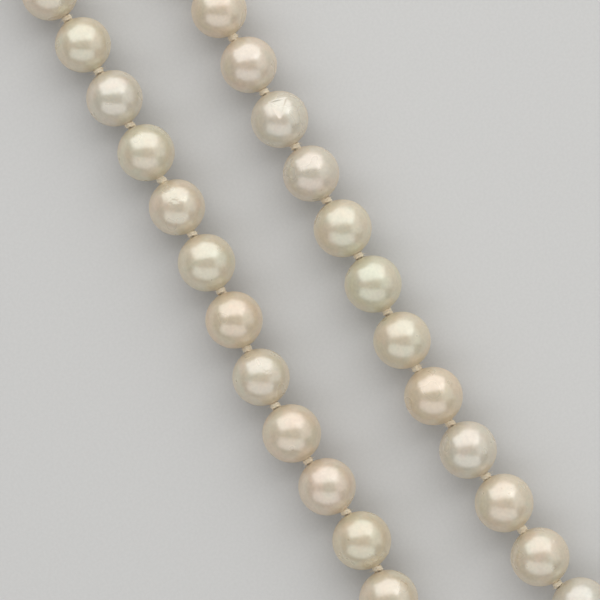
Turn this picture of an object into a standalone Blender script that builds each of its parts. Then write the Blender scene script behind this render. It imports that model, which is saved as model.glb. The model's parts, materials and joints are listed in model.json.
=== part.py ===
"""A single strand of hand-knotted round pearls, laid out as a long open loop on a table.

The front pearl is the widest and the pearls grade down towards both ends. One silk thread runs
through every drilled pearl and is knotted in each gap. Each end of the silk is looped through a
short coil of French wire (gimp). The left loop holds a jump ring and a lobster clasp, and the
right loop holds the ring that the clasp hooks into. The clasp lies open, one end by the other.

Units are metres. +Z is up and the strand rests on z = 0. The runs lie along Y, with the front
pearl at -Y and the clasp at +Y. The origin is the middle of the strand's box, at its bottom.
"""

import math

import bmesh
import bpy
from mathutils import Matrix, Vector
from mathutils.geometry import interpolate_bezier

# Pearls
PEARLS_EACH_SIDE = 24
FRONT_PEARL_DIAMETER = 0.0084
END_PEARL_DIAMETER = 0.0076
PEARL_SPREAD = 0.0001  # how far one pearl's diameter strays from the even grading
PEARL_SPREAD_STEP = 2.4  # radians from one pearl to the next, so that neighbours differ
DRILL_DIAMETER = 0.0010
PEARL_SIDES = 16  # flats round the drill hole; one of them lies on the table
PEARL_ARCS = 6

# Silk
KNOT_GAP = 0.00075  # from one pearl's surface to the next
SILK_DIAMETER = 0.0005
KNOT_DIAMETER = 0.0011
KNOT_HALF_LENGTH = 0.00022
SILK_IN_DRILL = 0.0002  # depth inside the drill hole at which the silk is back to its own width

# French wire loops
GIMP_DIAMETER = 0.0007
GIMP_LOOP_RADIUS = 0.00105
GIMP_START = 0.0009  # from the last pearl's surface to the ends of the coil
GIMP_LEG_HALF_GAP = 0.00045
GIMP_TO_EYE = 0.0016  # from the coil's ends to the middle of its loop
GIMP_LEFT_DROOP = math.radians(20)
GIMP_RIGHT_DROOP = math.radians(25)
GIMP_TURN = math.radians(130)  # how far the loop turns each way from its far end
GIMP_STEPS = 12

# Rings
JUMP_RING_RADIUS = 0.0023  # to the middle of the wire
JUMP_RING_WIRE = 0.0007
CATCH_RING_RADIUS = 0.0024
CATCH_RING_WIRE = 0.0009
RING_CLEARANCE = 0.00005  # between a ring's lowest point and the table
RING_STEPS = 24
RING_WIRE_SIDES = 8

# Lobster clasp, in its own frame: u from the eye to the nose, v across, z up
CLASP_THICKNESS = 0.0034
CLASP_EDGE = 0.00035
CLASP_EYE_HOLE_RADIUS = 0.0010
CLASP_EYE_THICKNESS = 0.0010
CLASP_EYE_END = 0.00235  # u at which the thin eye meets the thick body
TRIGGER_THICKNESS = 0.0012
TRIGGER_EDGE = 0.0002
TRIGGER_PIVOT = (0.0033, 0.0017)
SLOT_HEIGHT = 0.0015
SLOT_START_U = 0.0019
SLOT_END_U = 0.0050
SLOT_FLOOR_V = 0.0
SLOT_OPEN_V = 0.0036
RIVET_RADIUS = 0.0004
RIVET_HOLE_RADIUS = 0.0005
RIVET_END_GAP = 0.00005
SPRING_WIRE = 0.00024
OUTLINE_STEPS = 2  # pieces of the outline between two of its points
HOLE_SIDES = 16
CUTTER_REACH = 0.01  # how far a cutter runs past the clasp

MERGE_DISTANCE = 1e-6

# The route of each half of the strand, from beside the front pearl to the end, chosen by hand
FRONT = (0.0005, -0.1020)
LEFT_ROUTE = [
    (-0.0090, -0.0992), (-0.0160, -0.0920), (-0.0190, -0.0820), (-0.0177, -0.0700),
    (-0.0138, -0.0555), (-0.0098, -0.0420), (-0.0091, -0.0290), (-0.0101, -0.0195),
    (-0.0102, -0.0105), (-0.0096, -0.0015), (-0.0087, 0.0075), (-0.0083, 0.0160),
    (-0.0082, 0.0330), (-0.0084, 0.0500), (-0.0094, 0.0640), (-0.0102, 0.0770),
    (-0.0090, 0.0880), (-0.0048, 0.0975), (0.0016, 0.1045),
]
RIGHT_ROUTE = [
    (0.0108, -0.1000), (0.0192, -0.0942), (0.0238, -0.0845), (0.0225, -0.0735),
    (0.0160, -0.0640), (0.0117, -0.0555), (0.0108, -0.0440), (0.0101, -0.0350),
    (0.0094, -0.0255), (0.0092, -0.0160), (0.0096, -0.0070), (0.0100, 0.0020),
    (0.0100, 0.0190), (0.0101, 0.0360), (0.0110, 0.0520), (0.0130, 0.0670),
    (0.0150, 0.0800), (0.0150, 0.0920), (0.0125, 0.1030), (0.0080, 0.1130),
]
LEFT_START = (-1.0, 0.0)
RIGHT_START = (1.0, 0.0)
ROUTE_STEPS = 40
WALK_HALVINGS = 40

CLASP_OUTLINE = [
    (-0.00200, 0.00000), (-0.00141, -0.00141), (0.00000, -0.00200), (0.00180, -0.00190),
    (0.00340, -0.00280), (0.00500, -0.00340), (0.00680, -0.00350), (0.00860, -0.00305),
    (0.01010, -0.00200), (0.01080, -0.00050), (0.01085, 0.00110), (0.01030, 0.00250),
    (0.00910, 0.00325),
]
CLASP_INSIDE = [
    (0.00910, 0.00200), (0.00945, 0.00100), (0.00935, -0.00020), (0.00865, -0.00125),
    (0.00740, -0.00180), (0.00600, -0.00175), (0.00500, -0.00110), (0.00455, -0.00010),
    (0.00445, 0.00080),
]
CLASP_SHOULDER = [
    (0.00460, 0.00180), (0.00420, 0.00268), (0.00330, 0.00305), (0.00240, 0.00280),
    (0.00180, 0.00205), (0.00000, 0.00200), (-0.00141, 0.00141),
]
TRIGGER_OUTLINE = [
    (0.00420, 0.00115), (0.00540, 0.00165), (0.00700, 0.00200), (0.00875, 0.00210),
    (0.00875, 0.00305), (0.00720, 0.00320), (0.00580, 0.00320), (0.00545, 0.00400),
    (0.00480, 0.00410), (0.00440, 0.00340), (0.00400, 0.00255), (0.00330, 0.00270),
    (0.00250, 0.00235), (0.00230, 0.00170), (0.00255, 0.00105), (0.00330, 0.00070),
]
SPRING_ROUTE = [
    (0.00225, 0.00030), (0.00270, 0.00025), (0.00320, 0.00036), (0.00370, 0.00042),
    (0.00420, 0.00036), (0.00455, 0.00028),
]

PEARL_COLOUR = (0.80, 0.75, 0.62, 1.0)
SILK_COLOUR = (0.80, 0.70, 0.54, 1.0)
GOLD_COLOUR = (0.83, 0.62, 0.27, 1.0)
STEEL_COLOUR = (0.55, 0.55, 0.56, 1.0)

NAME = "pearl_necklace"


def clear_scene():
    for obj in list(bpy.data.objects):
        bpy.data.objects.remove(obj)


def new_collection(name):
    collection = bpy.data.collections.new(name)
    bpy.context.scene.collection.children.link(collection)
    return collection


def new_material(name, colour, roughness, metallic=0.0):
    material = bpy.data.materials.new(name)
    material.use_nodes = True
    shader = material.node_tree.nodes["Principled BSDF"]
    shader.inputs["Base Color"].default_value = colour
    shader.inputs["Roughness"].default_value = roughness
    shader.inputs["Metallic"].default_value = metallic
    return material


def place(obj, collection, parent, material):
    """Puts a new object in its collection, under the strand's empty, with its own material."""
    for other in list(obj.users_collection):
        other.objects.unlink(obj)
    collection.objects.link(obj)
    obj.parent = parent
    if material:
        obj.data.materials.append(material)
    return obj


# ---- Layout -------------------------------------------------------------------------------


def pearl_diameter(index):
    """The diameter of the pearl that is index places from the front one."""
    graded = (END_PEARL_DIAMETER - FRONT_PEARL_DIAMETER) * index / PEARLS_EACH_SIDE
    return FRONT_PEARL_DIAMETER + graded + PEARL_SPREAD * math.sin(PEARL_SPREAD_STEP * index)


def smooth_route(points, start):
    """A smooth curve through the route's points, leaving the first one along start."""
    points = [Vector(p) for p in points]
    first = points[0] - Vector(start) * (points[1] - points[0]).length
    ends = [first, *points, 2 * points[-1] - points[-2]]
    curve = []
    for before, here, there, after in zip(ends, ends[1:], ends[2:], ends[3:]):
        handle_here = here + (there - before) / 6
        handle_there = there - (after - here) / 6
        part = interpolate_bezier(
            here.to_3d(), handle_here.to_3d(), handle_there.to_3d(), there.to_3d(), ROUTE_STEPS
        )
        curve += part[:-1]
    return curve


def walk(curve, distances):
    """Points on the curve, each one a straight distance from the one before."""
    here, found, index = curve[0], [], 0
    for distance in distances:
        while (curve[index + 1] - here).length < distance:
            index += 1
        low, high = 0.0, 1.0
        for _ in range(WALK_HALVINGS):
            middle = (low + high) / 2
            if (curve[index].lerp(curve[index + 1], middle) - here).length < distance:
                low = middle
            else:
                high = middle
        here = curve[index].lerp(curve[index + 1], low)
        found.append(here)
    return found


def half_layout(route, start):
    """Centres, directions and knots of one half: pearls 1 to 24, knot i before pearl i + 1."""
    sizes = [pearl_diameter(i) for i in range(PEARLS_EACH_SIDE + 1)]
    first = Vector(FRONT) + Vector(start) * (sizes[0] + KNOT_GAP) / 2
    curve = smooth_route([first, *route], start)
    knots = [curve[0], *walk(curve, [size + KNOT_GAP for size in sizes[1:]])]
    centres, directions = [], []
    for index in range(PEARLS_EACH_SIDE):
        direction = (knots[index + 1] - knots[index]).normalized()
        middle = (knots[index] + knots[index + 1]) / 2
        centres.append(Vector((middle.x, middle.y, sizes[index + 1] / 2)))
        directions.append(direction)
    heights = [sizes[0] / 2] + [centre.z for centre in centres]
    for index in range(PEARLS_EACH_SIDE):
        knots[index].z = (heights[index] + heights[index + 1]) / 2
    knots[PEARLS_EACH_SIDE].z = heights[-1]
    return centres, directions, knots


def end_frame(centres, directions):
    """Where the silk leaves the last pearl: its place on the table, and along and across it."""
    along = directions[-1].normalized()
    across = Vector((-along.y, along.x, 0))
    mouth = centres[-1] + along * pearl_diameter(PEARLS_EACH_SIDE) / 2
    return mouth, along, across


def in_plane(frame, distance, height):
    """A point over the strand's own line, a distance beyond the last pearl's surface."""
    mouth, along, _ = frame
    return Vector((mouth.x, mouth.y, height)) + along * distance


def gimp_eye(frame, droop):
    """The middle of a French wire loop, and the direction from the pearl to it."""
    mouth, along, _ = frame
    outward = along * math.cos(droop) - Vector((0, 0, math.sin(droop)))
    return in_plane(frame, GIMP_START, mouth.z) + outward * GIMP_TO_EYE, outward


# ---- Pieces -------------------------------------------------------------------------------


def pearl_mesh(name, radius):
    """The profile of a drilled pearl, from the drill hole's edge over the outside and back.

    It is turned in flats, and widened so that the middle of each flat is at the true radius.
    """
    widened = 1 / math.cos(math.pi / PEARL_SIDES)
    edge = math.asin(DRILL_DIAMETER / 2 / radius)
    mesh = bmesh.new()
    ring = []
    for step in range(PEARL_ARCS + 1):
        angle = edge + (math.pi - 2 * edge) * step / PEARL_ARCS
        across = radius * widened * math.sin(angle)
        ring.append(mesh.verts.new((across, 0, radius * math.cos(angle))))
    for here, there in zip(ring, ring[1:] + ring[:1]):
        mesh.edges.new((here, there))
    data = bpy.data.meshes.new(name)
    mesh.to_mesh(data)
    mesh.free()
    return data


def add_pearl(name, centre, along, radius, collection, parent, material):
    obj = bpy.data.objects.new(name, pearl_mesh(name, radius))
    turn = obj.modifiers.new("turn", "SCREW")
    turn.axis = "Z"
    turn.angle = math.tau
    turn.steps = turn.render_steps = PEARL_SIDES
    turn.use_merge_vertices = True
    turn.merge_threshold = MERGE_DISTANCE
    turn.use_smooth_shade = True
    down = Vector((0, 0, -1))
    axes = Matrix((down, along.cross(down), along)).transposed().to_4x4()
    flat_down = Matrix.Rotation(math.pi / PEARL_SIDES, 4, "Z")
    obj.matrix_world = Matrix.Translation(centre) @ axes @ flat_down
    return place(obj, collection, parent, material)


def tube(name, points, radius, collection, parent, material, widths=None, sides=2):
    """A curve with a round section through the points, as wide as widths times radius."""
    data = bpy.data.curves.new(name, "CURVE")
    data.dimensions = "3D"
    data.bevel_depth = radius
    data.bevel_resolution = sides
    data.use_fill_caps = True
    spline = data.splines.new("POLY")
    spline.points.add(len(points) - 1)
    for index, (point, place_at) in enumerate(zip(spline.points, points)):
        point.co = (*place_at, 1)
        point.radius = widths[index] if widths else 1.0
    return place(bpy.data.objects.new(name, data), collection, parent, material)


def silk_points(front, halves):
    """The silk's route through every pearl, with its relative width at each point."""
    half = PEARLS_EACH_SIDE
    (left_at, left_to, left_knots), (right_at, right_to, right_knots) = halves
    at = [*reversed(left_at), front, *right_at]
    axis = (right_knots[0] - left_knots[0]).normalized()
    axis.z = 0
    along = [*(-to for to in reversed(left_to)), axis, *right_to]
    sizes = [pearl_diameter(abs(index - half)) for index in range(2 * half + 1)]
    knots = [*reversed(left_knots[:half]), *right_knots[:half]]
    thick = KNOT_DIAMETER / SILK_DIAMETER
    points, widths = [], []

    def add(point, width):
        points.append(point)
        widths.append(width)

    def end_knot(centre, outward, size, reverse):
        knot = centre + outward * (size / 2 + KNOT_GAP / 2)
        stops = [
            (centre + outward * (size / 2 - SILK_IN_DRILL), 1.0),
            (knot - outward * KNOT_HALF_LENGTH, thick),
            (knot + outward * KNOT_HALF_LENGTH, thick),
        ]
        for point, width in reversed(stops) if reverse else stops:
            add(point, width)

    end_knot(at[0], -along[0], sizes[0], True)
    for index, knot in enumerate(knots):
        here, there = along[index], along[index + 1]
        add(at[index] + here * (sizes[index] / 2 - SILK_IN_DRILL), 1.0)
        add(knot - here * KNOT_HALF_LENGTH, thick)
        add(knot + there * KNOT_HALF_LENGTH, thick)
        add(at[index + 1] - there * (sizes[index + 1] / 2 - SILK_IN_DRILL), 1.0)
    end_knot(at[-1], along[-1], sizes[-1], False)
    return points, widths


def gimp_points(frame, droop, upright):
    """The coil's middle line: out along one leg, round the loop and back along the other."""
    mouth, _, across = frame
    eye, outward = gimp_eye(frame, droop)
    side = across.cross(outward) if upright else across
    start = in_plane(frame, GIMP_START, mouth.z)
    loop = []
    for step in range(GIMP_STEPS + 1):
        angle = GIMP_TURN * (1 - 2 * step / GIMP_STEPS)
        reach = outward * math.cos(angle) + side * math.sin(angle)
        loop.append(eye + reach * GIMP_LOOP_RADIUS)
    legs = side * GIMP_LEG_HALF_GAP
    return [start + legs, *loop, start - legs]


def add_ring(name, centre, normal, radius, wire, collection, parent, material):
    bpy.ops.mesh.primitive_torus_add(
        major_radius=radius,
        minor_radius=wire / 2,
        major_segments=RING_STEPS,
        minor_segments=RING_WIRE_SIDES,
    )
    obj = bpy.context.object
    obj.name = name
    obj.data.name = name
    obj.data.shade_smooth()
    turned = normal.to_track_quat("Z", "X").to_matrix().to_4x4()
    obj.matrix_world = Matrix.Translation(centre) @ turned
    return place(obj, collection, parent, material)


def plate(name, outline, thickness, edge):
    """A flat plate with chamfered edges, centred on z = 0, as a closed mesh object."""
    data = bpy.data.curves.new(name, "CURVE")
    data.dimensions = "2D"
    data.fill_mode = "BOTH"
    data.extrude = thickness / 2 - edge
    data.bevel_depth = edge
    data.bevel_resolution = 0
    data.offset = -edge
    spline = data.splines.new("POLY")
    spline.points.add(len(outline) - 1)
    for point, (u, v) in zip(spline.points, outline):
        point.co = (u, v, 0, 1)
    spline.use_cyclic_u = True
    flat = bpy.data.objects.new(name, data)
    bpy.context.scene.collection.objects.link(flat)
    graph = bpy.context.evaluated_depsgraph_get()
    shape = bpy.data.meshes.new_from_object(flat.evaluated_get(graph))
    bpy.data.objects.remove(flat)
    mesh = bmesh.new()
    mesh.from_mesh(shape)
    bmesh.ops.remove_doubles(mesh, verts=mesh.verts, dist=MERGE_DISTANCE)
    bmesh.ops.recalc_face_normals(mesh, faces=mesh.faces)
    mesh.to_mesh(shape)
    mesh.free()
    return bpy.data.objects.new(name, shape)


def smooth_outline(corners, steps):
    """A smooth open line through the corners, with steps pieces between two of them."""
    points = [Vector(corner) for corner in corners]
    ends = [2 * points[0] - points[1], *points, 2 * points[-1] - points[-2]]
    line = []
    for before, here, there, after in zip(ends, ends[1:], ends[2:], ends[3:]):
        for step in range(steps):
            t = step / steps
            line.append(
                here
                + (there - before) / 2 * t
                + (before - 2.5 * here + 2 * there - after / 2) * t**2
                + (1.5 * (here - there) + (after - before) / 2) * t**3
            )
    return [*line, points[-1]]


def cut(target, cutter, cutters, parent):
    """Takes the cutter's shape out of the target, and keeps the cutter as a hidden guide."""
    cutter.hide_render = True
    cutter.display_type = "WIRE"
    place(cutter, cutters, parent, None)
    modifier = target.modifiers.new(cutter.name, "BOOLEAN")
    modifier.operation = "DIFFERENCE"
    modifier.object = cutter


def box_cutter(name, low, high, frame):
    bpy.ops.mesh.primitive_cube_add(size=1)
    obj = bpy.context.object
    obj.name = name
    low, high = Vector(low), Vector(high)
    sizes = Matrix.Diagonal((*(high - low), 1))
    obj.matrix_world = frame @ Matrix.Translation((low + high) / 2) @ sizes
    return obj


def round_piece(name, radius, depth, frame, centre):
    bpy.ops.mesh.primitive_cylinder_add(radius=radius, depth=depth, vertices=HOLE_SIDES)
    obj = bpy.context.object
    obj.name = name
    obj.data.name = name
    obj.matrix_world = frame @ Matrix.Translation(centre)
    return obj


def add_clasp(frame, collection, cutters, parent, gold, steel):
    """The lobster clasp: its cast body, the sprung trigger on its rivet, and the leaf spring."""
    hook = smooth_outline(CLASP_OUTLINE, OUTLINE_STEPS)
    inside = smooth_outline(CLASP_INSIDE, OUTLINE_STEPS)
    shoulder = smooth_outline([CLASP_INSIDE[-1], *CLASP_SHOULDER], OUTLINE_STEPS)[1:]
    body = plate("clasp_body", [*hook, *inside, *shoulder], CLASP_THICKNESS, CLASP_EDGE)
    body.matrix_world = frame
    place(body, collection, parent, gold)
    pivot = Vector((*TRIGGER_PIVOT, 0))
    far = CUTTER_REACH
    thin = CLASP_EYE_THICKNESS / 2
    for name, low, high in (("eye_top_cutter", thin, far), ("eye_bottom_cutter", -far, -thin)):
        side = box_cutter(name, (-far, -far, low), (CLASP_EYE_END, far, high), frame)
        cut(body, side, cutters, parent)
    hole = round_piece("eye_hole_cutter", CLASP_EYE_HOLE_RADIUS, far, frame, Vector())
    cut(body, hole, cutters, parent)
    slot_low = (SLOT_START_U, SLOT_FLOOR_V, -SLOT_HEIGHT / 2)
    slot_high = (SLOT_END_U, SLOT_OPEN_V, SLOT_HEIGHT / 2)
    cut(body, box_cutter("slot_cutter", slot_low, slot_high, frame), cutters, parent)
    hole = round_piece("rivet_hole_cutter", RIVET_HOLE_RADIUS, far, frame, pivot)
    cut(body, hole, cutters, parent)

    trigger = plate("clasp_trigger", TRIGGER_OUTLINE, TRIGGER_THICKNESS, TRIGGER_EDGE)
    for vertex in trigger.data.vertices:
        vertex.co -= pivot
    trigger.matrix_world = frame @ Matrix.Translation(pivot)
    place(trigger, collection, parent, gold)
    hole = round_piece("trigger_hole_cutter", RIVET_HOLE_RADIUS, far, frame, pivot)
    cut(trigger, hole, cutters, parent)

    length = CLASP_THICKNESS - 2 * RIVET_END_GAP
    rivet = round_piece("clasp_rivet", RIVET_RADIUS, length, frame, pivot)
    rivet.data.shade_smooth()
    place(rivet, collection, parent, gold)
    route = [frame @ Vector((u, v, 0)) for u, v in SPRING_ROUTE]
    tube("clasp_spring", route, SPRING_WIRE / 2, collection, parent, steel, sides=1)


def left_end(frame, collection, cutters, parent, gold, steel):
    """The jump ring stands in the French wire loop, and the clasp lies flat beyond it."""
    eye, _ = gimp_eye(frame, GIMP_LEFT_DROOP)
    mouth, along, across = frame
    height = JUMP_RING_RADIUS + JUMP_RING_WIRE / 2 + RING_CLEARANCE
    reach = math.sqrt(JUMP_RING_RADIUS**2 - (eye.z - height) ** 2)
    centre = Vector((eye.x, eye.y, height)) + along * reach
    add_ring("jump_ring", centre, across, JUMP_RING_RADIUS, JUMP_RING_WIRE, collection, parent, gold)
    clasp_height = CLASP_THICKNESS / 2
    reach = math.sqrt(JUMP_RING_RADIUS**2 - (height - clasp_height) ** 2)
    clasp_eye = Vector((centre.x, centre.y, clasp_height)) + along * reach
    axes = Matrix((along, across, Vector((0, 0, 1)))).transposed().to_4x4()
    add_clasp(Matrix.Translation(clasp_eye) @ axes, collection, cutters, parent, gold, steel)


def right_end(frame, collection, parent, gold):
    """The ring that the clasp hooks into hangs from its loop and leans on the table."""
    eye, _ = gimp_eye(frame, GIMP_RIGHT_DROOP)
    _, along, across = frame
    lowest = CATCH_RING_WIRE / 2 + RING_CLEARANCE
    slope = math.asin((eye.z - lowest) / (2 * CATCH_RING_RADIUS))
    down_slope = along * math.cos(slope) - Vector((0, 0, math.sin(slope)))
    centre = eye + down_slope * CATCH_RING_RADIUS
    normal = down_slope.cross(across)
    add_ring("catch_ring", centre, normal, CATCH_RING_RADIUS, CATCH_RING_WIRE, collection, parent, gold)


def bottom_centre(objects):
    """The middle of the objects' shared box in X and Y, and its bottom."""
    graph = bpy.context.evaluated_depsgraph_get()
    corners = []
    for obj in objects:
        shape = obj.evaluated_get(graph)
        mesh = shape.to_mesh()
        corners += [shape.matrix_world @ vertex.co for vertex in mesh.vertices]
        shape.to_mesh_clear()
    low = [min(corner[axis] for corner in corners) for axis in range(3)]
    high = [max(corner[axis] for corner in corners) for axis in range(3)]
    return Vector(((low[0] + high[0]) / 2, (low[1] + high[1]) / 2, low[2]))


def main():
    clear_scene()
    collection = new_collection(NAME)
    cutters = new_collection(NAME + "_cutters")
    strand = bpy.data.objects.new(NAME, None)
    collection.objects.link(strand)
    pearl = new_material("pearl", PEARL_COLOUR, 0.25)
    silk = new_material("silk", SILK_COLOUR, 0.8)
    gold = new_material("gold", GOLD_COLOUR, 0.2, 1.0)
    steel = new_material("steel", STEEL_COLOUR, 0.3, 1.0)

    left = half_layout(LEFT_ROUTE, LEFT_START)
    right = half_layout(RIGHT_ROUTE, RIGHT_START)
    front = Vector((*FRONT, FRONT_PEARL_DIAMETER / 2))
    across_front = (right[2][0] - left[2][0]).normalized()
    add_pearl("pearl_front", front, across_front, front.z, collection, strand, pearl)
    for side, (centres, directions, _) in (("left", left), ("right", right)):
        for index, (centre, direction) in enumerate(zip(centres, directions), start=1):
            name = f"pearl_{side}_{index:02d}"
            add_pearl(name, centre, direction, centre.z, collection, strand, pearl)

    points, widths = silk_points(front, (left, right))
    tube("silk_thread", points, SILK_DIAMETER / 2, collection, strand, silk, widths)
    left_frame = end_frame(left[0], left[1])
    right_frame = end_frame(right[0], right[1])
    loop = gimp_points(left_frame, GIMP_LEFT_DROOP, False)
    tube("gimp_loop_left", loop, GIMP_DIAMETER / 2, collection, strand, gold)
    loop = gimp_points(right_frame, GIMP_RIGHT_DROOP, True)
    tube("gimp_loop_right", loop, GIMP_DIAMETER / 2, collection, strand, gold)
    left_end(left_frame, collection, cutters, strand, gold, steel)
    right_end(right_frame, collection, strand, gold)

    pieces = [obj for obj in collection.objects if obj.type != "EMPTY"]
    strand.location = -bottom_centre(pieces)
    bpy.context.view_layer.update()


main()
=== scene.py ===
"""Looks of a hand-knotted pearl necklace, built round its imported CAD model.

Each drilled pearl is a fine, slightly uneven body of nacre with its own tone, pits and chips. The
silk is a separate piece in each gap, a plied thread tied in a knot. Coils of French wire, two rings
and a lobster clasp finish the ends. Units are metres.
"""

import json
import math
import random

import bmesh
import bpy
import numpy as np
from mathutils import Matrix, Vector


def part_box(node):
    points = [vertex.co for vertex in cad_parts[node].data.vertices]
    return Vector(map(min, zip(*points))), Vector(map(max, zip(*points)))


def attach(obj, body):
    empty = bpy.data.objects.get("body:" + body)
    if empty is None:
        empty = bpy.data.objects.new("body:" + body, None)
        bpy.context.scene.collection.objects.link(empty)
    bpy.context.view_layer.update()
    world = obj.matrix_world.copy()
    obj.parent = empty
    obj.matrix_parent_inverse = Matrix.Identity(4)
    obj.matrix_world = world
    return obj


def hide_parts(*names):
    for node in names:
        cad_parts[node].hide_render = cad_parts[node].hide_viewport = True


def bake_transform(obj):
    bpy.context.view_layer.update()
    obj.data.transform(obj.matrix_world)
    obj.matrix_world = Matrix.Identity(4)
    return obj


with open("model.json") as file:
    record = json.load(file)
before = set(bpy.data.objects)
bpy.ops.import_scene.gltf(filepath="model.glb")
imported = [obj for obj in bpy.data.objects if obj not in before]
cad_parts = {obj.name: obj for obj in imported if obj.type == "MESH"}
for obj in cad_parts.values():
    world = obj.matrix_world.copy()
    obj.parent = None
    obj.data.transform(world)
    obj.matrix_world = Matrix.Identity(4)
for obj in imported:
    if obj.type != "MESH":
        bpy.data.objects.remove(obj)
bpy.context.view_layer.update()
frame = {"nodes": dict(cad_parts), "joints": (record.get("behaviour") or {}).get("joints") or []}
JOINTS = {joint["name"]: joint for joint in frame["joints"]}

EACH_SIDE = 24
SIDES = ("left", "right")

# Pearls
HOLE_RADIUS = 0.00050
RIM = 0.00012  # how far the drill hole's worn edge reaches over the surface
PEARL_TURNS = 96
PEARL_ARCS = 72
FINE = 2  # how much finer the mesh of a pearl with flaws is
RIM_BLEND = 0.0006  # from the rim to where the surface is fully uneven
WAVE_COUNT = 7
CHIP_EDGE = 0.045  # width of a chip's step, in radii
CHIP_FLATNESS = 0.28  # 0 follows the sphere, 1 is a plane cut
UNEVEN = ((0.0040, 0.7), (0.0016, 1.6), (0.0003, 5.0))  # height, and half waves, per radius
SUNK = 0.010  # how far the surface lies inside the CAD pearl on average, in radii

# Silk
THREAD_RADIUS = 0.00028
PLIES = 3
PLY_DEPTH = 0.16
PLY_LENGTH = 0.0016  # in which the plies turn once
KNOT_RADIUS = 0.00037  # from the strand's line to the middle of the thread that wraps it
KNOT_WRAP = 0.00066  # length of the wrapped part
WRAP_TURNS = 2.5
WRAP_STEPS = 44
WRAP_LEAN = 0.00013  # how far the wraps slant along the strand
THREAD_IN_PEARL = 0.0011
THREAD_SIDES = 18
FIBRES = 26
FIBRE_RADIUS = 0.000013
FIBRE_SPREAD = 0.00035  # of the fibres' roots, each way along the knot
FIBRE_LENGTHS = (0.00030, 0.00095)
FIBRE_TAPER = (1.6, 1.3, 1.0, 0.8, 0.4)

# French wire: the coil, and the line it follows beyond an end pearl
COIL_WIRE = 0.000055  # radius of the wire
COIL_RADIUS = 0.00030
COIL_PITCH = 0.000125
COIL_STEPS = 14
GIMP_START = 0.0009
GIMP_TO_EYE = 0.0016
GIMP_EYE_RADIUS = 0.00105
GIMP_HALF_GAP = 0.00045
GIMP_TURN = math.radians(130)  # how far the loop turns each way from its far end
GIMP_TURN_STEPS = 16
GIMP_DROOP = {"left": math.radians(20), "right": math.radians(25)}
SILK_IN_GIMP = 0.00019
SILK_IN_GIMP_STEP = 0.0003

# Rings and clasp
RING_STEPS = 120
RING_WIRE_SIDES = 28
JUMP_RING_CUT = math.radians(1.2)
CAST = {"clasp_body": (0.00008, 10), "clasp_trigger": (0.00006, 6)}  # voxel, rounds of smoothing

# Camera, light and floor. The camera looks straight down; its right and up lie on the table.
CAMERA_TURN = math.radians(-30)
VIEW_WIDTH = 0.0824
CAMERA_HEIGHT = 0.62
VIEW_FROM_FRONT_PEARL = (-0.0005, 0.1020)
SENSOR = 36.0
LIGHT_DISTANCE = 0.60
WORLD_STRENGTH = 0.22
FLOOR_SIZE = 6
FLOOR_DROP = 0.00006  # keeps the floor clear of the faces that rest on the table
RIGHT = Vector((math.cos(CAMERA_TURN), math.sin(CAMERA_TURN), 0))
UP = Vector((-math.sin(CAMERA_TURN), math.cos(CAMERA_TURN), 0))

# Nacre tones: body colour, and the warm and the cool tint that drift over it
TONES = {
    "cream": ((0.62, 0.53, 0.39), (0.64, 0.51, 0.37), (0.58, 0.54, 0.40)),
    "silver": ((0.59, 0.53, 0.42), (0.61, 0.51, 0.40), (0.56, 0.53, 0.42)),
    "rose": ((0.63, 0.52, 0.39), (0.65, 0.50, 0.38), (0.59, 0.53, 0.40)),
    "straw": ((0.62, 0.52, 0.37), (0.64, 0.50, 0.35), (0.58, 0.53, 0.37)),
    "sage": ((0.59, 0.54, 0.39), (0.62, 0.51, 0.37), (0.55, 0.53, 0.39)),
}
# Overtones: the tint of a pearl's gleam. Pearls without an entry take a tone and overtone in turn.
OVERTONES = {
    "white": (1.00, 1.00, 1.00),
    "pink": (1.00, 0.91, 0.91),
    "mint": (0.87, 1.00, 0.95),
    "blue": (0.88, 0.94, 1.00),
}
OVERTONE_ORDER = ("white", "pink", "mint", "white", "blue")
PEARL_OVERTONES = {
    "left_09": "mint", "left_10": "white", "left_11": "pink", "left_12": "blue",
    "left_13": "pink", "left_14": "mint", "left_15": "mint", "left_16": "white",
    "left_17": "white", "left_18": "mint", "right_08": "mint", "right_09": "white",
    "right_10": "white", "right_11": "pink", "right_12": "mint", "right_13": "mint",
    "right_14": "mint", "right_15": "pink", "right_16": "white", "right_17": "blue",
}
TONE_ORDER = ("cream", "silver", "rose", "cream", "straw", "silver", "cream", "sage")
PEARL_TONES = {
    "left_08": "cream", "left_09": "straw", "left_10": "rose", "left_11": "cream",
    "left_12": "cream", "left_13": "straw", "left_14": "cream", "left_15": "rose",
    "left_16": "sage", "left_17": "silver", "left_18": "cream", "left_19": "rose",
    "right_07": "silver", "right_08": "rose", "right_09": "cream", "right_10": "silver",
    "right_11": "straw", "right_12": "cream", "right_13": "sage", "right_14": "cream",
    "right_15": "silver", "right_16": "silver", "right_17": "rose", "right_18": "cream",
}

# Blemishes with a shape: kind, places to the right and up seen from above, height, and for all
# but a chip its width, in pearl radii. A chip's places are its three corners.
FLAWS = {
    "right_16": [
        ("chip", [(-0.40, 0.58), (0.27, 0.76), (0.03, -0.08)], 0.005),
        ("ridge", [(0.80, 0.56)], 0.028, 0.07),
        ("dent", [(0.88, 0.44)], 0.020, 0.10),
    ],
    "right_15": [("ridge", [(-0.34, 0.90)], 0.020, 0.16)],
    "left_15": [("rough", [(-0.12, 0.22)], 0.012, 0.34)],
    "left_13": [("ridge", [(0.58, -0.74)], 0.030, 0.16), ("dent", [(-0.05, -0.62)], 0.014, 0.34)],
    "left_12": [("rough", [(0.26, 0.20)], 0.007, 0.22)],
    "left_09": [("ridge", [(0.84, -0.40)], 0.034, 0.11)],
    "left_11": [("dent", [(0.05, -0.66)], 0.016, 0.16)],
    "right_08": [("rough", [(0.52, 0.56)], 0.008, 0.16)],
}
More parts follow.
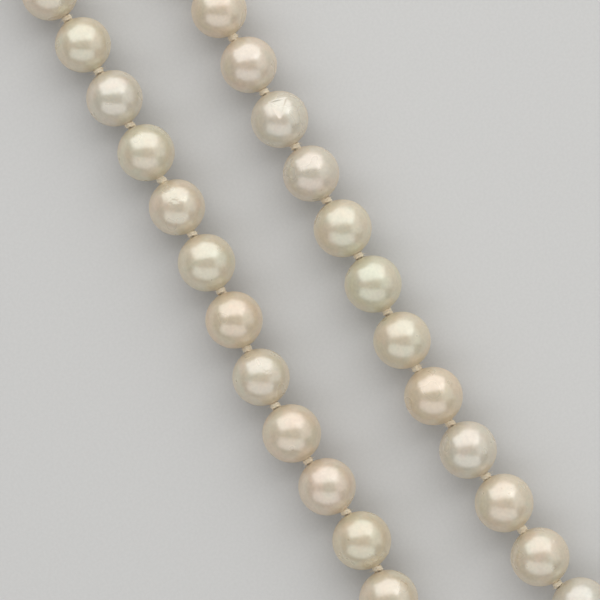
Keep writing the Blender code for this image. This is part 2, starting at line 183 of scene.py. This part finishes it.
GRIT_HEIGHT = 24.0  # of the grit in a rough patch, against 0.28 for the fine clouds
PIT_COLOUR = (0.42, 0.34, 0.22, 1)
MARK_COLOUR = (0.40, 0.31, 0.18, 1)
# Small marks in the nacre: place, size in radii, and how much of the mark colour
MARKS = {
    "right_15": [((0.36, -0.61), 0.040, 0.9)],
    "right_16": [((-0.36, 0.60), 0.110, 0.30)],
    "right_17": [((-0.12, -0.23), 0.030, 0.5), ((-0.03, -0.28), 0.030, 0.5)],
    "left_16": [((-0.26, -0.27), 0.085, 0.35)],
    "left_17": [((-0.43, -0.62), 0.040, 0.3), ((0.08, -0.10), 0.050, 0.3)],
    "right_09": [((0.20, 0.53), 0.040, 0.8), ((-0.12, 0.53), 0.060, 0.45)],
    "left_12": [((0.34, 0.32), 0.035, 0.4), ((0.05, 0.33), 0.035, 0.3)],
    "left_10": [((0.10, -0.55), 0.045, 0.5)],
    "right_12": [((-0.30, 0.10), 0.030, 0.4)],
    "left_18": [((0.25, 0.45), 0.035, 0.4)],
}


# ---- Places read from the frame -------------------------------------------------------------


def knot_at(side, index):
    """The place of the knot before pearl index of one side."""
    return Vector(JOINTS[f"knot_{side}_{index:02d}"]["pos_m"])


def pearl_place(name):
    """The middle and the radius of a CAD pearl."""
    low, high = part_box(f"pearl_{name}")
    return (low + high) / 2, (high.z - low.z) / 2


def drill_direction(name):
    """The level direction of a pearl's drill hole, away from the front pearl."""
    if name == "front":
        along = knot_at("right", 1) - knot_at("left", 1)
    else:
        side, index = name.split("_")
        along = pearl_place(name)[0] - knot_at(side, int(index))
    along.z = 0
    return along.normalized()


def seen_from_above(right, up):
    """A unit vector for a place on the upper half of a pearl, in radii from its middle."""
    return RIGHT * right + UP * up + Vector((0, 0, math.sqrt(max(0.0, 1 - right**2 - up**2))))


def linked(name, data):
    """A new object in the scene."""
    obj = bpy.data.objects.new(name, data)
    bpy.context.scene.collection.objects.link(obj)
    return obj


# ---- Node helpers ---------------------------------------------------------------------------


def new_material(name):
    material = bpy.data.materials.new(name)
    material.use_nodes = True
    return material, material.node_tree, material.node_tree.nodes["Principled BSDF"]


def set_inputs(shader, values):
    """Sets values on the shader's own sockets."""
    for key, value in values.items():
        shader.inputs[key].default_value = value


def add(tree, kind, inputs=None, **settings):
    """A new node with its settings, its input values, and links where a value is a socket."""
    node = tree.nodes.new(kind)
    for key, value in settings.items():
        setattr(node, key, value)
    for key, value in (inputs or {}).items():
        if isinstance(value, bpy.types.NodeSocket):
            tree.links.new(value, node.inputs[key])
        else:
            node.inputs[key].default_value = value
    return node


def math_node(tree, operation, first, second=0.0):
    return add(tree, "ShaderNodeMath", {0: first, 1: second}, operation=operation).outputs[0]


def mapped(tree, value, low, high, to_low, to_high):
    """The value from low to high brought smoothly to to_low to to_high."""
    inputs = {"Value": value, 1: low, 2: high, 3: to_low, 4: to_high}
    node = add(tree, "ShaderNodeMapRange", inputs, interpolation_type="SMOOTHSTEP")
    return node.outputs[0]


def mixed(tree, factor, first, second, blend="MIX"):
    inputs = {0: factor, 6: first, 7: second}
    return add(tree, "ShaderNodeMix", inputs, data_type="RGBA", blend_type=blend).outputs[2]


def noise_node(tree, vector, scale, detail=2.0, rough=0.5):
    inputs = {"Vector": vector, "Scale": scale, "Detail": detail, "Roughness": rough}
    return add(tree, "ShaderNodeTexNoise", inputs).outputs[0]


def bumped(tree, height, strength, distance):
    inputs = {"Height": height, "Strength": strength, "Distance": distance}
    return add(tree, "ShaderNodeBump", inputs).outputs[0]


# ---- Materials ------------------------------------------------------------------------------


def spot_at(tree, place, turned, radius, where, size, fine):
    """1 at a place on a pearl seen from above, fading unevenly to 0 at size radii from it."""
    at = turned.inverted() @ (seen_from_above(*where) * radius)
    gap = add(tree, "ShaderNodeVectorMath", {0: place, 1: at}, operation="DISTANCE")
    uneven = math_node(tree, "MULTIPLY", fine, 0.5 * size * radius)
    gap = math_node(tree, "ADD", gap.outputs["Value"], uneven)
    return mapped(tree, gap, 0.25 * size * radius, 1.25 * size * radius, 1.0, 0.0)


def nacre(name, tone, radius, turned, draw):
    """Nacre for one pearl: drifting tints, faint clouds, rare pits, and its small marks."""
    material, tree, shader = new_material(f"nacre_{name}")
    body, warm, cool = TONES[tone]
    place = add(tree, "ShaderNodeTexCoord").outputs["Object"]
    shift = [draw.uniform(-40, 40) for _ in range(3)]
    scaled = add(
        tree, "ShaderNodeVectorMath", {0: place, 1: (1 / radius,) * 3, 2: shift},
        operation="MULTIPLY_ADD",
    ).outputs[0]
    clouds = noise_node(tree, scaled, 1.1, 2.0)
    drift = add(
        tree, "ShaderNodeVectorMath", {0: scaled, 1: (7.3, -4.1, 9.7)}, operation="ADD"
    ).outputs[0]
    other = noise_node(tree, drift, 1.4, 2.0)
    fine = noise_node(tree, scaled, 9.0, 2.0, 0.5)
    colour = mixed(tree, mapped(tree, clouds, 0.44, 0.66, 0.0, 0.7), (*body, 1), (*warm, 1))
    colour = mixed(tree, mapped(tree, other, 0.46, 0.68, 0.0, 0.6), colour, (*cool, 1))
    shade = mapped(tree, fine, 0.30, 0.70, 0.94, 1.03)
    grey = add(tree, "ShaderNodeCombineColor", {0: shade, 1: shade, 2: shade}).outputs[0]
    colour = mixed(tree, 1.0, colour, grey, "MULTIPLY")

    height = math_node(tree, "MULTIPLY", fine, 0.28)
    cells = add(
        tree, "ShaderNodeTexVoronoi", {"Vector": scaled, "Scale": 2.6, "Randomness": 1.0}
    )
    rare = mapped(tree, cells.outputs["Color"], 0.62, 0.66, 0.0, 1.0)
    dots = mapped(tree, cells.outputs["Distance"], 0.015, 0.050, 1.0, 0.0)
    pits = math_node(tree, "MULTIPLY", dots, rare)
    colour = mixed(tree, math_node(tree, "MULTIPLY", pits, 0.35), colour, PIT_COLOUR)
    height = math_node(tree, "SUBTRACT", height, math_node(tree, "MULTIPLY", pits, 0.9))
    for where, size, brown in MARKS.get(name, ()):
        spot = spot_at(tree, place, turned, radius, where, size, fine)
        colour = mixed(tree, math_node(tree, "MULTIPLY", spot, brown), colour, MARK_COLOUR)
        height = math_node(tree, "SUBTRACT", height, math_node(tree, "MULTIPLY", spot, 2.0))
    for flaw in FLAWS.get(name, ()):
        if flaw[0] == "rough":
            patch = spot_at(tree, place, turned, radius, flaw[1][0], flaw[3], fine)
            grit = noise_node(tree, scaled, 22.0, 2.0, 0.6)
            raised = math_node(tree, "MULTIPLY", grit, GRIT_HEIGHT)
            height = math_node(tree, "ADD", height, math_node(tree, "MULTIPLY", patch, raised))
    tree.links.new(colour, shader.inputs["Base Color"])
    tree.links.new(bumped(tree, height, 0.22, 0.00003), shader.inputs["Normal"])
    rough = mapped(tree, clouds, 0.30, 0.70, 0.27, 0.35)
    tree.links.new(rough, shader.inputs["Roughness"])
    set_inputs(shader, {
        "Metallic": 0.08, "IOR": 1.85, "Specular IOR Level": 1.0,
        "Specular Tint": (*OVERTONES[overtone_of(name)], 1),
        "Subsurface Weight": 0.20, "Subsurface Radius": (1.0, 0.72, 0.45),
        "Subsurface Scale": 0.0006, "Sheen Weight": 0.65, "Sheen Roughness": 0.38,
        "Sheen Tint": (0.60, 0.44, 0.24, 1), "Coat Weight": 0.50, "Coat Roughness": 0.12,
        "Coat IOR": 1.6,
    })
    return material


def silk_material():
    material, tree, shader = new_material("plied_silk")
    place = add(tree, "ShaderNodeTexCoord").outputs["Object"]
    stains = noise_node(tree, place, 900.0, 3.0)
    strands = noise_node(tree, place, 14000.0, 2.0, 0.7)
    colour = mixed(
        tree, mapped(tree, stains, 0.38, 0.66, 0.0, 1.0), (0.89, 0.77, 0.58, 1),
        (0.80, 0.65, 0.46, 1),
    )
    colour = mixed(tree, mapped(tree, strands, 0.35, 0.7, 0.0, 0.30), colour, (0.95, 0.88, 0.75, 1))
    tree.links.new(colour, shader.inputs["Base Color"])
    tree.links.new(bumped(tree, strands, 0.6, 0.00004), shader.inputs["Normal"])
    set_inputs(shader, {
        "Roughness": 0.72, "Sheen Weight": 0.45, "Sheen Roughness": 0.4,
        "Subsurface Weight": 0.25, "Subsurface Radius": (1.0, 0.9, 0.75),
        "Subsurface Scale": 0.0002,
    })
    return material


def metal(name, colour, worn, low, high):
    """Polished metal with hairline scratches, duller and darker in patches from handling."""
    material, tree, shader = new_material(name)
    place = add(tree, "ShaderNodeTexCoord").outputs["Object"]
    smears = noise_node(tree, place, 420.0, 4.0)
    stretched = add(
        tree, "ShaderNodeMapping", {"Vector": place, "Scale": (300.0, 5200.0, 5200.0)}
    ).outputs[0]
    scratches = noise_node(tree, stretched, 1.0, 3.0, 0.6)
    tint = mixed(tree, mapped(tree, smears, 0.40, 0.72, 0.0, 0.6), (*colour, 1), (*worn, 1))
    tree.links.new(tint, shader.inputs["Base Color"])
    rough = math_node(
        tree, "ADD", mapped(tree, smears, 0.3, 0.7, low, high),
        mapped(tree, scratches, 0.55, 0.75, 0.0, 0.08),
    )
    tree.links.new(rough, shader.inputs["Roughness"])
    tree.links.new(bumped(tree, scratches, 0.25, 0.000012), shader.inputs["Normal"])
    set_inputs(shader, {"Metallic": 1.0})
    return material


def floor_material():
    material, tree, shader = new_material("floor_card")
    place = add(tree, "ShaderNodeTexCoord").outputs["Object"]
    grain = noise_node(tree, place, 2500.0, 2.0, 0.6)
    tint = mixed(
        tree, mapped(tree, grain, 0.3, 0.7, 0.0, 1.0), (0.58, 0.575, 0.565, 1),
        (0.60, 0.595, 0.585, 1),
    )
    tree.links.new(tint, shader.inputs["Base Color"])
    set_inputs(shader, {"Roughness": 0.85, "Specular IOR Level": 0.2})
    return material


# ---- Pearls ---------------------------------------------------------------------------------


def pearl_profile(radius, arcs):
    """A closed profile of (distance from the drill's line, distance along it)."""
    first = math.asin((HOLE_RADIUS + RIM) / radius)
    outside = []
    for step in range(arcs + 1):
        angle = first + (math.pi - 2 * first) * step / arcs
        outside.append((radius * math.sin(angle), radius * math.cos(angle)))
    top = math.sqrt(radius**2 - HOLE_RADIUS**2)
    rim = [
        (HOLE_RADIUS, top - 1.3 * RIM),
        (HOLE_RADIUS + 0.10 * RIM, top - 0.65 * RIM),
        (HOLE_RADIUS + 0.45 * RIM, top - 0.20 * RIM),
    ]
    inside = [(HOLE_RADIUS, -0.5 * top), (HOLE_RADIUS, 0.0), (HOLE_RADIUS, 0.5 * top)]
    return [*rim, *outside, *((x, -z) for x, z in reversed(rim)), *inside]


def bumps(points, waves, draw):
    """A smooth random height from about -1 to 1 at each point, as a sum of plane waves."""
    total = np.zeros(len(points))
    for _ in range(WAVE_COUNT):
        way = Vector([draw.gauss(0, 1) for _ in range(3)]).normalized() * waves
        total += np.sin(math.pi * (points @ np.array(way)) + draw.uniform(0, math.tau))
    return total / math.sqrt(WAVE_COUNT)


def inside_corners(at, corners, soft):
    """1 well inside the three corners, 0 outside, and a soft step between, for each place."""
    middle = sum((Vector(corner) for corner in corners), Vector((0, 0))) / len(corners)
    depth = np.ones(len(at))
    for here, there in zip(corners, corners[1:] + corners[:1]):
        edge = Vector(there) - Vector(here)
        inner = Vector((-edge.y, edge.x)).normalized()
        if (middle - Vector(here)).dot(inner) < 0:
            inner = -inner
        depth = np.minimum(depth, (at - np.array(here)) @ np.array(inner) / soft)
    return np.clip(depth, 0, 1)


def flaw_height(flaw, seen, draw):
    """How far a flaw lifts the surface at each point, in radii."""
    kind, places, height = flaw[:3]
    at = seen[:, :2]
    upper = seen[:, 2] > 0
    if kind == "chip":
        corners = [np.array(Vector((x, y, math.sqrt(1 - x * x - y * y)))) for x, y in places]
        way = sum(corners) / np.linalg.norm(sum(corners))
        towards = np.maximum(seen @ way / np.linalg.norm(seen, axis=1), 0.5)
        flat = np.maximum(0, 1 - min(corner @ way for corner in corners) / towards)
        depth = height + CHIP_FLATNESS * flat
        return -1.0 * upper * depth * inside_corners(at, places, CHIP_EDGE)
    away = np.linalg.norm(at - np.array(places[0]), axis=1) / flaw[3]
    bell = upper * height * np.exp(-2.2 * away**2)
    if kind == "rough":
        return bell * (bumps(seen, 9, draw) * 0.5 + bumps(seen, 21, draw) * 0.4)
    return bell if kind == "ridge" else -bell


def make_uneven(data, name, radius, turned, draw):
    """Moves the surface of a round pearl in and out, but not its drill hole."""
    points = np.empty(len(data.vertices) * 3, np.float32)
    data.vertices.foreach_get("co", points)
    points = points.reshape(-1, 3).astype(float)
    local = points / radius
    lift = sum(size * bumps(local, waves, draw) for size, waves in UNEVEN) - SUNK
    to_seen = np.array(Matrix((RIGHT, UP, (0, 0, 1))) @ turned)
    seen = local @ to_seen.T
    for flaw in FLAWS.get(name, ()):
        lift += flaw_height(flaw, seen, draw)
    span = np.hypot(points[:, 0], points[:, 1])
    share = np.clip((span - HOLE_RADIUS - RIM) / RIM_BLEND, 0, 1)
    points *= (1 + lift * share)[:, None]
    data.vertices.foreach_set("co", points.astype(np.float32).ravel())
    data.update()


def turned_mesh(name, profile, turns):
    """A closed profile of (distance from the Z axis, height) turned all the way round."""
    across, up = np.array(profile).T
    angles = np.arange(turns) * math.tau / turns
    x, y = np.outer(np.cos(angles), across), np.outer(np.sin(angles), across)
    points = np.stack([x, y, np.tile(up, (turns, 1))], axis=2).reshape(-1, 3)
    count = len(profile)
    first = np.arange(turns)[:, None] * count + np.arange(count)
    below = np.roll(first, -1, axis=1)
    faces = np.stack([first, below, np.roll(below, -1, axis=0), np.roll(first, -1, axis=0)], axis=2)
    data = bpy.data.meshes.new(name)
    data.from_pydata(points.tolist(), [], faces.reshape(-1, 4).tolist())
    return data


def pearl_piece(name):
    """A drilled pearl with an uneven surface and its flaws, in place of the CAD pearl."""
    middle, radius = pearl_place(name)
    along = drill_direction(name)
    down = Vector((0, 0, -1))
    turned = Matrix((down, along.cross(down), along)).transposed()
    draw = random.Random(f"pearl {name}")
    fine = FINE if name in FLAWS else 1
    profile = pearl_profile(radius, PEARL_ARCS * fine)
    data = turned_mesh(f"nacre_{name}", profile, PEARL_TURNS * fine)
    make_uneven(data, name, radius, turned, draw)
    data.shade_smooth()
    data.materials.append(nacre(name, tone_of(name), radius, turned, draw))
    piece = linked(f"nacre_{name}", data)
    piece.matrix_world = Matrix.Translation(middle) @ turned.to_4x4()
    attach(piece, name)
    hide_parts(f"pearl_{name}")


def in_turn(name, step, order):
    """One of the order's names for a pearl, in turn along the strand."""
    side, _, index = name.partition("_")
    return order[(int(index or 0) * step + len(side)) % len(order)]


def tone_of(name):
    return PEARL_TONES.get(name) or in_turn(name, 3, TONE_ORDER)


def overtone_of(name):
    return PEARL_OVERTONES.get(name) or in_turn(name, 2, OVERTONE_ORDER)


# ---- Silk -----------------------------------------------------------------------------------


def sweep(mesh, path, radius, sides, lobes=0, depth=0.0, twist=0.0, widths=None):
    """Adds a closed tube along the path. Its section has lobes that turn by twist per metre."""
    path = [Vector(point) for point in path]
    tangents = [(b - a).normalized() for a, b in zip(path, path[1:])]
    tangents = [tangents[0], *tangents]
    side = tangents[0].orthogonal().normalized()
    rings, gone, before = [], 0.0, None
    for index, (point, tangent) in enumerate(zip(path, tangents)):
        if index + 1 < len(path):
            ahead = tangents[index + 1]
            tangent = (tangent + ahead).normalized()
        if before is not None:
            side = before.rotation_difference(tangent) @ side
            gone += (path[index] - path[index - 1]).length
        side = (side - tangent * side.dot(tangent)).normalized()
        other = tangent.cross(side)
        before = tangent
        wide = radius * (widths[index] if widths else 1.0)
        ring = []
        for step in range(sides):
            angle = math.tau * step / sides
            reach = wide * (1 + depth * math.cos(lobes * angle - twist * gone))
            out = side * math.cos(angle) + other * math.sin(angle)
            ring.append(mesh.verts.new(point + out * reach))
        rings.append(ring)
    for ring, following in zip(rings, rings[1:]):
        for step in range(sides):
            after = (step + 1) % sides
            mesh.faces.new((ring[step], ring[after], following[after], following[step]))
    mesh.faces.new(reversed(rings[0]))
    mesh.faces.new(rings[-1])


def crossways(along):
    """The level direction across the strand, and the one square to both."""
    side = Vector((-along.y, along.x, 0)).normalized()
    return side, along.cross(side)


def knot_path(centre, before, after, length_before, length_after, draw):
    """The thread's line: out of one pearl, some turns round itself, and into the next pearl."""
    along = (before + after).normalized()
    side, top = crossways(along)
    phase = draw.uniform(0, math.tau)
    hand = draw.choice((-1, 1))
    start = centre - before * length_before
    path = [start, start.lerp(centre - before * KNOT_WRAP * 0.8, 0.5)]
    for step in range(WRAP_STEPS + 1):
        share = step / WRAP_STEPS
        angle = phase + hand * math.tau * WRAP_TURNS * share
        rise = math.sin(math.pi * share) ** 0.25
        reach = KNOT_RADIUS * rise * (1 + 0.42 * abs(2 * share - 1))
        lean = WRAP_LEAN * math.sin(angle + 0.9)
        place = centre + along * (KNOT_WRAP * (share - 0.5) + lean * rise)
        path.append(place + (side * math.cos(angle) + top * math.sin(angle)) * reach)
    end = centre + after * length_after
    return [*path, end.lerp(centre + after * KNOT_WRAP * 0.8, 0.5), end]


def knot_mesh(name, centre, before, after, into_before, into_after):
    """A knot of plied silk with its loose fibres, and thread into the pearls on both sides."""
    draw = random.Random(f"silk {name}")
    mesh = bmesh.new()
    twist = math.tau / PLY_LENGTH * PLIES
    path = knot_path(centre, before, after, into_before, into_after, draw)
    sweep(mesh, path, THREAD_RADIUS, THREAD_SIDES, PLIES, PLY_DEPTH, twist)
    core = [centre - before * into_before * 0.98, centre - before * KNOT_WRAP * 0.6, centre]
    core += [centre + after * KNOT_WRAP * 0.6, centre + after * into_after * 0.98]
    sweep(mesh, core, THREAD_RADIUS * 0.9, THREAD_SIDES, PLIES, PLY_DEPTH, -twist)
    along = (before + after).normalized()
    side, top = crossways(along)
    for _ in range(FIBRES):
        angle = draw.uniform(0, math.tau)
        out = side * math.cos(angle) + top * math.sin(angle)
        root = centre + along * draw.uniform(-FIBRE_SPREAD, FIBRE_SPREAD) + out * KNOT_RADIUS
        drift = along * draw.uniform(-0.8, 0.8) + side * draw.uniform(-0.7, 0.7)
        drift += top * draw.uniform(-0.7, 0.7)
        reach = draw.uniform(*FIBRE_LENGTHS)
        bends = [root + out * reach * t + drift * reach * t * t for t in (0, 0.25, 0.5, 0.75, 1)]
        sweep(mesh, bends, FIBRE_RADIUS, 4, widths=FIBRE_TAPER)
    data = bpy.data.meshes.new(name)
    mesh.to_mesh(data)
    mesh.free()
    data.shade_smooth()
    return data


def silk_piece(name, data, material):
    data.materials.append(material)
    piece = linked(name, data)
    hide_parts("silk_thread")
    return piece


def silk_in_gap(side, index, material):
    """The silk between one pearl and the next, tied in a knot at the joint between them."""
    inner = "front" if index == 1 else f"{side}_{index - 1:02d}"
    outer = f"{side}_{index:02d}"
    centre = knot_at(side, index)
    before, after = centre - pearl_place(inner)[0], pearl_place(outer)[0] - centre
    gap_before = before.length - pearl_place(inner)[1]
    gap_after = after.length - pearl_place(outer)[1]
    data = knot_mesh(
        f"silk_{outer}", centre, before.normalized(), after.normalized(),
        gap_before + THREAD_IN_PEARL, gap_after + THREAD_IN_PEARL,
    )
    piece = silk_piece(f"silk_{outer}", data, material)
    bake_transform(piece)


# ---- Ends -----------------------------------------------------------------------------------


def ring_frame(node):
    """The middle, the normal, the radius to the wire's middle and the wire's radius of a ring."""
    points = np.array([vertex.co for vertex in frame["nodes"][node].data.vertices], float)
    middle = points.mean(axis=0)
    axes = np.linalg.svd(points - middle)[2]
    wire = np.ptp((points - middle) @ axes[2]) / 2
    outer = np.linalg.norm(points - middle, axis=1).max()
    return Vector(middle), Vector(axes[2]), outer - wire, wire


def gimp_line(side):
    """The end knot's place, the way the French wire leaves it, and the line of the wire's loop."""
    name = f"{side}_{EACH_SIDE}"
    middle, radius = pearl_place(name)
    along = drill_direction(name)
    mouth = middle + along * radius
    droop = GIMP_DROOP[side]
    outward = along * math.cos(droop) - Vector((0, 0, math.sin(droop)))
    level = Vector((-along.y, along.x, 0))
    aside = level if side == "left" else level.cross(outward).normalized()
    start = mouth + along * GIMP_START
    eye = start + outward * GIMP_TO_EYE
    line = [start + aside * GIMP_HALF_GAP]
    for step in range(-GIMP_TURN_STEPS, GIMP_TURN_STEPS + 1):
        angle = -GIMP_TURN * step / GIMP_TURN_STEPS
        line.append(eye + (outward * math.cos(angle) + aside * math.sin(angle)) * GIMP_EYE_RADIUS)
    line.append(start - aside * GIMP_HALF_GAP)
    return mouth + along * GIMP_START / 2, along, line


def evenly(line, gap):
    """Points about this far apart along a line."""
    points = []
    for here, there in zip(line, line[1:]):
        count = max(1, round((there - here).length / gap))
        points += [here.lerp(there, step / count) for step in range(count)]
    return [*points, line[-1]]


def coil(mesh, line):
    """Adds a close coil of fine wire round the line."""
    points = evenly(line, COIL_PITCH / COIL_STEPS)
    side = (points[1] - points[0]).orthogonal().normalized()
    wound = []
    for index, (here, there) in enumerate(zip(points, points[1:])):
        tangent = (there - here).normalized()
        side = (side - tangent * side.dot(tangent)).normalized()
        angle = math.tau * index / COIL_STEPS
        out = side * math.cos(angle) + tangent.cross(side) * math.sin(angle)
        wound.append(here + out * COIL_RADIUS)
    sweep(mesh, wound, COIL_WIRE, 6)


def made_piece(name, mesh, material, node):
    """An object from a bmesh, in place of a CAD node."""
    data = bpy.data.meshes.new(name)
    mesh.to_mesh(data)
    mesh.free()
    data.shade_smooth()
    data.materials.append(material)
    piece = linked(name, data)
    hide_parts(node)
    return piece


def strand_end(side, silk, wire):
    """The knot past an end pearl, and the loop of silk that French wire guards."""
    centre, along, line = gimp_line(side)
    name = f"{side}_{EACH_SIDE}"
    into_pearl = GIMP_START / 2 + THREAD_IN_PEARL
    data = knot_mesh(f"silk_end_{side}", centre, along, along, into_pearl, GIMP_START / 2)
    mesh = bmesh.new()
    mesh.from_mesh(data)
    sweep(mesh, evenly([centre, *line, centre], SILK_IN_GIMP_STEP), SILK_IN_GIMP, 12)
    mesh.to_mesh(data)
    mesh.free()
    data.shade_smooth()
    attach(silk_piece(f"silk_end_{side}", data, silk), name)
    mesh = bmesh.new()
    coil(mesh, line)
    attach(made_piece(f"french_wire_{side}", mesh, wire, f"gimp_loop_{side}"), name)


def torus(name, node, material, body, cut):
    """A ring of round wire. cut is the angle of the gap where a jump ring was closed."""
    middle, normal, radius, wire = ring_frame(node)
    turned = normal.to_track_quat("Z", "X").to_matrix()
    mesh = bmesh.new()
    if cut:
        line = []
        for step in range(RING_STEPS + 1):
            angle = cut / 2 + (math.tau - cut) * step / RING_STEPS + math.pi / 2
            line.append(Vector((radius * math.cos(angle), radius * math.sin(angle), 0)))
        sweep(mesh, line, wire, RING_WIRE_SIDES)
    else:
        bpy.ops.mesh.primitive_torus_add(
            major_radius=radius, minor_radius=wire,
            major_segments=RING_STEPS, minor_segments=RING_WIRE_SIDES,
        )
        made = bpy.context.object
        mesh.from_mesh(made.data)
        bpy.data.objects.remove(made)
    piece = made_piece(name, mesh, material, node)
    piece.matrix_world = Matrix.Translation(middle) @ turned.to_4x4()
    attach(piece, body)


def plain_node(node, material):
    """The CAD node as it is, with a material."""
    obj = frame["nodes"][node]
    obj.data.materials.clear()
    obj.data.materials.append(material)
    return obj


def cast_piece(node, material):
    """Rounds a CAD node's edges as casting and polishing do, by modifiers on its own mesh."""
    voxel, rounds = CAST[node]
    obj = plain_node(node, material)
    remesh = obj.modifiers.new("close_grained", "REMESH")
    remesh.mode = "VOXEL"
    remesh.voxel_size = voxel
    remesh.use_smooth_shade = True
    smooth = obj.modifiers.new("polished", "SMOOTH")
    smooth.factor = 0.5
    smooth.iterations = rounds


# ---- Surroundings ---------------------------------------------------------------------------


def add_floor():
    bpy.ops.mesh.primitive_plane_add(size=FLOOR_SIZE, location=(0, 0, -FLOOR_DROP))
    floor = bpy.context.object
    floor.name = "floor"
    floor.data.materials.append(floor_material())


def softbox(name, target, polar, bearing, size, power, colour):
    """A rectangular softbox that faces the target, polar degrees from overhead."""
    tilt, turn = math.radians(polar), math.radians(bearing)
    level = UP * math.cos(turn) + RIGHT * math.sin(turn)
    out = level * math.sin(tilt) + Vector((0, 0, math.cos(tilt)))
    lamp = bpy.data.lights.new(name, "AREA")
    lamp.shape = "RECTANGLE"
    lamp.size, lamp.size_y = size
    lamp.energy = power
    lamp.color = colour
    obj = linked(name, lamp)
    level_side = Vector((0, 0, 1)).cross(out).normalized()
    turned = Matrix((level_side, out.cross(level_side), out)).transposed()
    place = Matrix.Translation(target + out * LIGHT_DISTANCE)
    obj.matrix_world = place @ turned.to_4x4()
    obj.visible_camera = False


def add_light(target):
    softbox("key_softbox", target, 55, -8, (1.30, 0.88), 5.9, (1.0, 1.0, 1.0))
    softbox("fill_softbox", target, 47, 184, (1.35, 0.56), 2.4, (0.98, 0.99, 1.0))
    softbox("side_softbox", target, 58, 72, (0.70, 0.60), 0.85, (0.97, 1.0, 0.98))
    world = bpy.data.worlds.new("studio")
    world.use_nodes = True
    background = world.node_tree.nodes["Background"]
    set_inputs(background, {"Color": (1.0, 0.99, 0.97, 1), "Strength": WORLD_STRENGTH})
    bpy.context.scene.world = world
    bpy.context.scene.view_settings.view_transform = "Standard"


def add_camera(target):
    data = bpy.data.cameras.new("camera")
    data.sensor_width = SENSOR
    height = CAMERA_HEIGHT - target.z
    data.lens = SENSOR * height / VIEW_WIDTH
    data.clip_start, data.clip_end = 0.01, 20
    camera = linked("camera", data)
    camera.location = (target.x, target.y, CAMERA_HEIGHT)
    camera.rotation_euler = (0, 0, CAMERA_TURN)
    bpy.context.scene.camera = camera


def main():
    middle, radius = pearl_place("front")
    offset = Vector((*VIEW_FROM_FRONT_PEARL, 0))
    target = Vector((middle.x, middle.y, radius)) + offset
    add_camera(target)
    add_light(target)
    add_floor()
    silk = silk_material()
    pearl_piece("front")
    for side in SIDES:
        for index in range(1, EACH_SIDE + 1):
            pearl_piece(f"{side}_{index:02d}")
            silk_in_gap(side, index, silk)
    gold = metal("polished_gold", (0.86, 0.62, 0.27), (0.80, 0.55, 0.24), 0.10, 0.17)
    wire = metal("gilt_french_wire", (0.84, 0.64, 0.33), (0.74, 0.55, 0.28), 0.16, 0.28)
    steel = metal("spring_steel", (0.56, 0.56, 0.57), (0.44, 0.44, 0.46), 0.22, 0.34)
    torus("gold_jump_ring", "jump_ring", gold, "jump_ring", JUMP_RING_CUT)
    torus("gold_catch_ring", "catch_ring", gold, "catch_ring", 0.0)
    cast_piece("clasp_body", gold)
    cast_piece("clasp_trigger", gold)
    plain_node("clasp_rivet", gold)
    plain_node("clasp_spring", steel)
    for side in SIDES:
        strand_end(side, silk, wire)


main()
